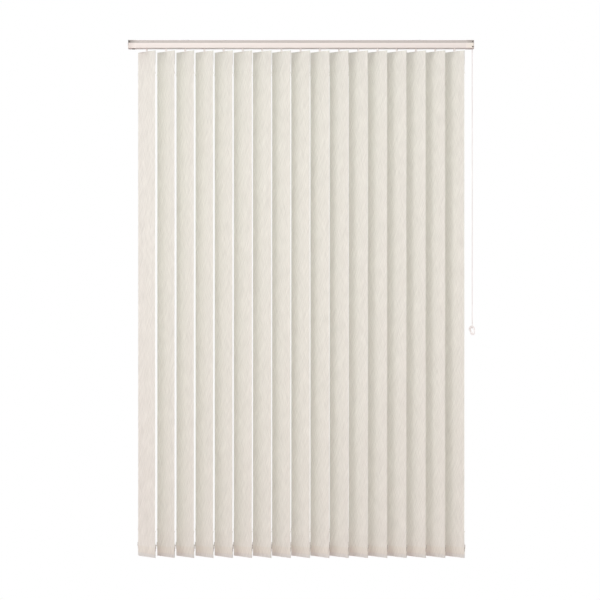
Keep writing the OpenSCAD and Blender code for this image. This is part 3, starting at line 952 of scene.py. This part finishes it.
# %% Weights
WEIGHT_HEIGHT = 36 * MM
WEIGHT_INSET = 1.5 * MM
WEIGHT_THICKNESS = 1.2 * MM
WEIGHT_CORNER = 3 * MM
FOLD_PLAY = 0.1 * MM
TAB_HEIGHT = 16 * MM
TAB_OUT = 1.6 * MM
LUG_HEIGHT = 4 * MM
PEG_RADIUS = 0.9 * MM
PEG_HEIGHT = 10 * MM
PEG_SIDES = 20
EYE_PLAY = 0.3 * MM
EYE_WALL = 1.0 * MM
SLIDE_PLAY = 0.4 * MM
PEG_FROM_CLOTH = PEG_RADIUS + EYE_PLAY + EYE_WALL + SLIDE_PLAY

weight_low = louvre_low + CLOTH_THICKNESS + FOLD_PLAY
weight_high = weight_low + WEIGHT_HEIGHT
peg_u = LOUVRE_WIDTH / 2 + PEG_FROM_CLOTH


def weight_outline():
    half = LOUVRE_WIDTH / 2 - WEIGHT_INSET
    tab = LOUVRE_WIDTH / 2 + TAB_OUT
    right = [
        (half - WEIGHT_CORNER, weight_low),
        (half, weight_low + WEIGHT_CORNER),
        (half, weight_high - TAB_HEIGHT),
        (tab, weight_high - TAB_HEIGHT + tab - half),
        (tab, weight_high - LUG_HEIGHT - peg_u + tab),
        (peg_u, weight_high - LUG_HEIGHT),
        (peg_u, weight_high),
    ]
    return right + [(-u, z) for u, z in reversed(right)]


def weight_mesh(name):
    shape = bmesh.new()
    corners = [shape.verts.new((u, -WEIGHT_THICKNESS / 2, z)) for u, z in weight_outline()]
    front = shape.faces.new(corners)
    grown = bmesh.ops.extrude_face_region(shape, geom=[front])
    moved = [item for item in grown["geom"] if isinstance(item, bmesh.types.BMVert)]
    bmesh.ops.translate(shape, verts=moved, vec=(0, WEIGHT_THICKNESS, 0))
    for side in (-1, 1):
        middle = (side * peg_u, 0, weight_high - LUG_HEIGHT / 2 + PEG_HEIGHT / 2)
        depth = LUG_HEIGHT + PEG_HEIGHT
        add_cone(shape, Matrix.Translation(middle), PEG_RADIUS, PEG_RADIUS, depth, PEG_SIDES)
    return close_shape(name, shape, weight_material)


for vane in vanes:
    foot_mesh = weight_mesh("foot_weight_" + vane[-2:])
    foot_mesh.transform(at_stem(vane))
    foot = add_piece("foot_weight_" + vane[-2:], foot_mesh, vane)
    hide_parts("louvre_" + vane[-2:])
print("weights:", len(vanes), "of", triangles(foot_mesh), "triangles")

# %% [markdown]
# ## Bead chain
# The feet are linked by a bead chain that hangs from the pegs at the louvres' back edges, in an even row
# of loops. The loops are arcs, drawn as one line of points. A Geometry Nodes tree puts beads along it at
# even steps and sweeps the thin thread they are moulded on. The chain closes up as the louvres are drawn
# aside, but the eyes that turn on the pegs keep their shape, so each eye is a piece of its own louvre.

# %% Arcs of the chain
CHAIN_SAG = 20 * MM
KNOT_RADIUS = 1.4 * MM
CHAIN_BACK = PEG_RADIUS + EYE_PLAY + KNOT_RADIUS
BEAD_RADIUS = 1.15 * MM
BEADS_PER_LOOP = 19
THREAD_RADIUS = 0.4 * MM
EYE_HEIGHT = 1.2 * MM
EYE_RIM = 0.35 * MM
ARC_STEPS = 16

eye_z = weight_high + SLIDE_PLAY + EYE_HEIGHT / 2
arc_radius = ((stem_pitch / 2) ** 2 + CHAIN_SAG**2) / (2 * CHAIN_SAG)
arc_half = math.asin(stem_pitch / 2 / arc_radius)
peg_places = [at_stem(vane) @ Vector((-peg_u, 0, eye_z)) for vane in vanes]


def loop_points():
    """Points of all the loops of the chain, behind the pegs."""
    points = [peg_places[0] + Vector((0, CHAIN_BACK, 0))]
    for peg in peg_places[:-1]:
        centre = peg + Vector((stem_pitch / 2, CHAIN_BACK, arc_radius - CHAIN_SAG))
        for k in range(1, ARC_STEPS + 1):
            turn = arc_half * (2 * k / ARC_STEPS - 1)
            points.append(centre + arc_radius * Vector((math.sin(turn), 0, -math.cos(turn))))
    return points


chain_start = points_mesh("chain_line", loop_points())
print("chain loops:", len(peg_places) - 1, "of", round(2 * arc_radius * arc_half / MM), "mm")

# %% Trees of the chain
BEAD_SIDES = 12
BEAD_RINGS = 8
THREAD_SIDES = 6
EYE_SIDES = 20
RIM_SIDES = 10


def circle(tree, steps, radius):
    """A circle as a curve."""
    inputs = {"Resolution": steps, "Radius": radius}
    return add_node(tree, "GeometryNodeCurvePrimitiveCircle", inputs).outputs[0]


def sweep(tree, curve, section, capped=False):
    """A section swept along a curve."""
    inputs = {"Curve": curve, "Profile Curve": section, "Fill Caps": capped}
    return add_node(tree, "GeometryNodeCurveToMesh", inputs).outputs[0]


def set_on_points(tree, points, shape):
    """A copy of a shape on every point."""
    inputs = {"Points": points, "Instance": shape}
    return add_node(tree, "GeometryNodeInstanceOnPoints", inputs).outputs[0]


def make_chain_tree():
    sizes = {"Int": ("Beads",), "Float": ("Bead Radius", "Thread Radius")}
    tree, start, end = new_geometry_tree("bead chain", sizes)
    size = start.outputs
    line = add_node(tree, "GeometryNodeMeshToCurve", {0: size["Geometry"]}).outputs[0]
    spots = add_node(tree, "GeometryNodeResampleCurve", {"Curve": line, "Count": size["Beads"]})
    inputs = {"Segments": BEAD_SIDES, "Rings": BEAD_RINGS, "Radius": size["Bead Radius"]}
    bead = add_node(tree, "GeometryNodeMeshUVSphere", inputs)
    beads = set_on_points(tree, spots.outputs[0], bead.outputs[0])
    thread = sweep(tree, line, circle(tree, THREAD_SIDES, size["Thread Radius"]), capped=True)
    joined = tree.nodes.new("GeometryNodeJoinGeometry")
    for part in (beads, thread):
        tree.links.new(part, joined.inputs[0])
    finish_tree(tree, start, end, joined.outputs[0])
    return tree


def make_eye_tree():
    tree, start, end = new_geometry_tree("chain eye", {"Float": ("Eye Radius", "Eye Rim")})
    size = start.outputs
    loop = circle(tree, EYE_SIDES, size["Eye Radius"])
    eye = sweep(tree, loop, circle(tree, RIM_SIDES, size["Eye Rim"]))
    finish_tree(tree, start, end, set_on_points(tree, size["Geometry"], eye))
    return tree


chain_tree = make_chain_tree()
eye_tree = make_eye_tree()
print("trees:", chain_tree.name, eye_tree.name, sep=", ")

# %% Chain and eyes
chain_sizes = {
    "Beads": (len(peg_places) - 1) * BEADS_PER_LOOP + 1,
    "Bead Radius": BEAD_RADIUS,
    "Thread Radius": THREAD_RADIUS,
    "Material": chain_material,
}
chain_mesh = run_tree(chain_start, chain_tree, chain_sizes)
chain = add_piece("bead_chain", chain_mesh, "chain")
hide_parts("bottom_chain")
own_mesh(chain)
eye_radius = PEG_RADIUS + EYE_PLAY + EYE_RIM
eye_sizes = {"Eye Radius": eye_radius, "Eye Rim": EYE_RIM, "Material": chain_material}
for vane, peg in zip(vanes, peg_places):
    eye_mesh = run_tree(points_mesh("peg", [peg]), eye_tree, eye_sizes)
    add_piece("chain_eye_" + vane[-2:], eye_mesh, vane)
print("chain:", triangles(chain_mesh), "triangles, and", len(vanes), "eyes of", triangles(eye_mesh))

# %% [markdown]
# ## Dark inserts and painted hole shade in the end caps
# Small round holes in the strip of each end cap look almost black: each holds a recessed dark pin, which
# paints the shade of the hole. Low on the control cap the pin has a wider dark head that sits on the face.
# Under the idle cap a dark latch fills the release slot and stands out a little for the thumb; its dark
# plate paints the shade of the slot. Pins are short cones and the latch is a plate.

# %% Inserts
INSERT_RADIUS = 1.9 * MM
HEAD_RADIUS = 2.9 * MM
INSERT_DEPTH = 0.9 * MM
INSERT_TAPER = 0.7
INSERT_SIDES = 24
STRIP_SET_BACK = 3.5 * MM
HOLE_DEPTH = 1.2 * MM
HOLE_FROM_END = 4.4 * MM
HEAD_PROUD = 0.6 * MM
LATCH_FROM_END = 17.5 * MM
LATCH_SIZE = (9.4 * MM, 15.4 * MM, 2.2 * MM)
LATCH_PROUD = 1.2 * MM
cap_low, cap_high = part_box("control_end_cap")
idle_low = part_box("idle_end_cap")[0]


def insert_mesh(name, pins, latch_place, latch_size):
    shape = bmesh.new()
    for place, radius in pins:
        turned = Matrix.Translation(place) @ Matrix.Rotation(math.radians(90), 4, "X")
        add_cone(shape, turned, radius, radius * INSERT_TAPER, INSERT_DEPTH, INSERT_SIDES)
    latch = Matrix.Translation(latch_place) @ Matrix.Diagonal((*latch_size, 1.0))
    bmesh.ops.create_cube(shape, size=1.0, matrix=latch)
    return close_shape(name, shape, insert_and_hole_shade_material)


hole_bottom = cap_low.y + HOLE_DEPTH - INSERT_DEPTH / 2
strip_middle = rail_high.z - STRIP_HEIGHT / 2
head_middle = cap_low.y - HEAD_PROUD + INSERT_DEPTH / 2
# Recessed dark pins paint the shade of the holes; the third pin has a wide dark head on the face.
pins = [
    (Vector((idle_low.x + HOLE_FROM_END, hole_bottom + STRIP_SET_BACK, strip_middle)), INSERT_RADIUS),
    (Vector((cap_high.x - HOLE_FROM_END, hole_bottom + STRIP_SET_BACK, strip_middle)), INSERT_RADIUS),
    (Vector((cap_high.x - HOLE_FROM_END, head_middle, rail_low.z + STRIP_HEIGHT / 2)), HEAD_RADIUS),
]
# The dark latch paints the shade of the release slot.
latch_place = Vector((idle_low.x + LATCH_FROM_END, 0, idle_low.z - LATCH_PROUD + LATCH_SIZE[2] / 2))
inserts_mesh = insert_mesh("cap_inserts", pins, latch_place, LATCH_SIZE)
add_piece("cap_inserts", inserts_mesh, "headrail")
print("inserts:", triangles(inserts_mesh), "triangles")

# %% [markdown]
# ## Floor, backdrop and light
# The background is plain white: the world and the far floor are white where the camera sees them itself
# or in gloss, and light the blind with other values. The floor lies half a metre below the louvres. Near
# the blind it is a pale surface that takes the shadow, and further out it fades to the background.
# The world fills in evenly from all round, a little more from behind. A light far out at the left draws
# the shadow of each louvre on the next, a weaker one close by lifts the left end, a broad one far in
# front softens the shadows, and one at the right only grazes the louvres and evens the headrail. The
# floor throws back only a little light, and a warm one, which is why the feet of the louvres are warmer;
# it also darkens the underside of the headrail, which is darkened further by painted shade.

# %% World
FRONT_FILL = 0.87
BACK_FILL = 1.15
FILL_CHANGE = (-0.2, 0.3)
world = bpy.data.worlds.new("studio")
bpy.context.scene.world = world
world.use_nodes = True
sky = world.node_tree
sky.nodes.clear()


def seen_directly(tree):
    """1 for what the camera sees itself, or in gloss or glass, and 0 for light on the object."""
    rays = tree.nodes.new("ShaderNodeLightPath").outputs
    gloss = math_node(tree, "MAXIMUM", rays["Is Glossy Ray"], rays["Is Transmission Ray"])
    return math_node(tree, "MAXIMUM", rays["Is Camera Ray"], gloss)


towards = sky.nodes.new("ShaderNodeTexCoord").outputs["Generated"]
fill_strength = spread(sky, split_xyz(sky, towards)[1], *FILL_CHANGE, FRONT_FILL, BACK_FILL)
fill = add_node(sky, "ShaderNodeBackground", {"Color": (1, 1, 1, 1), "Strength": fill_strength})
white = add_node(sky, "ShaderNodeBackground", {"Color": (1, 1, 1, 1), "Strength": 1.0})
sky_inputs = {0: seen_directly(sky), 1: fill.outputs[0], 2: white.outputs[0]}
sky_mix = add_node(sky, "ShaderNodeMixShader", sky_inputs)
add_node(sky, "ShaderNodeOutputWorld", {0: sky_mix.outputs[0]})
print("world fill:", FRONT_FILL, "from the front,", BACK_FILL, "from behind")

# %% Floor
FLOOR_Z = -2.3
FLOOR_HALF = 9.0
FLOOR_NEAR = 1.2
FLOOR_FAR = 2.2
FLOOR_PALE = (0.9, 0.9, 0.9, 1.0)
FLOOR_BOUNCE = (0.44, 0.23, 0.23, 1.0)

floor_mesh = bpy.data.meshes.new("floor")
corners = [(x * FLOOR_HALF, y * FLOOR_HALF, FLOOR_Z) for x, y in ((-1, -1), (1, -1), (1, 1), (-1, 1))]
floor_mesh.from_pydata(corners, [], [(0, 1, 2, 3)])
floor = new_object("floor", floor_mesh)

floor_material, floor_tree, floor_shader = new_material("pale floor", roughness=0.9)
bounce = floor_tree.nodes.new("ShaderNodeLightPath").outputs["Is Diffuse Ray"]
floor_colour = blend_colours(floor_tree, bounce, FLOOR_PALE, FLOOR_BOUNCE)
floor_tree.links.new(floor_colour, floor_shader.inputs["Base Color"])
flat_inputs = {"Vector": object_place(floor_tree), "Scale": (1.0, 1.0, 0.0)}
flat_place = add_node(floor_tree, "ShaderNodeMapping", flat_inputs).outputs[0]
distance = add_node(floor_tree, "ShaderNodeVectorMath", {0: flat_place}, operation="LENGTH")
far_away = spread(floor_tree, distance.outputs["Value"], FLOOR_NEAR, FLOOR_FAR)
glow = add_node(floor_tree, "ShaderNodeEmission", {"Color": (1, 1, 1, 1), "Strength": 1.0})
glow_share = times(floor_tree, far_away, seen_directly(floor_tree))
mix_inputs = {0: glow_share, 1: floor_shader.outputs[0], 2: glow.outputs[0]}
floor_mix = add_node(floor_tree, "ShaderNodeMixShader", mix_inputs)
floor_tree.links.new(floor_mix.outputs[0], floor_tree.nodes["Material Output"].inputs[0])
floor_mesh.materials.append(floor_material)
print("floor at", FLOOR_Z, "m")

# %% Lamps
LAMPS = {
    "key": {"place": (-5.1, -6.05, -0.9), "aim": (0.0, 0.0, -0.9), "size": (1.7, 1.7), "power": 36.0},
    "near": {"place": (-0.72, -2.0, -0.5), "aim": (-0.5, 0.0, -0.6), "size": (1.0, 1.4), "power": 11.0},
    "front": {"place": (0.3, -5.5, -0.8), "aim": (0.0, 0.0, -0.8), "size": (1.8, 1.8), "power": 47.0},
    "side": {"place": (2.0, -3.0, 0.1), "aim": (0.4, 0.0, -0.05), "size": (0.8, 0.6), "power": 5.0},
}


def add_lamp(name, place, aim, size, power):
    """A soft rectangular light that looks at a point, and isn't seen by the camera."""
    lamp_data = bpy.data.lights.new(name, "AREA")
    lamp_data.shape = "RECTANGLE"
    lamp_data.size, lamp_data.size_y = size
    lamp_data.energy = power
    lamp = new_object(name, lamp_data)
    lamp.location = place
    lamp.rotation_euler = (Vector(aim) - Vector(place)).to_track_quat("-Z", "Y").to_euler()
    lamp.visible_camera = False


for name, settings in LAMPS.items():
    add_lamp(name, **settings)
bpy.context.scene.view_settings.view_transform = "Standard"
print("lamps:", *LAMPS)
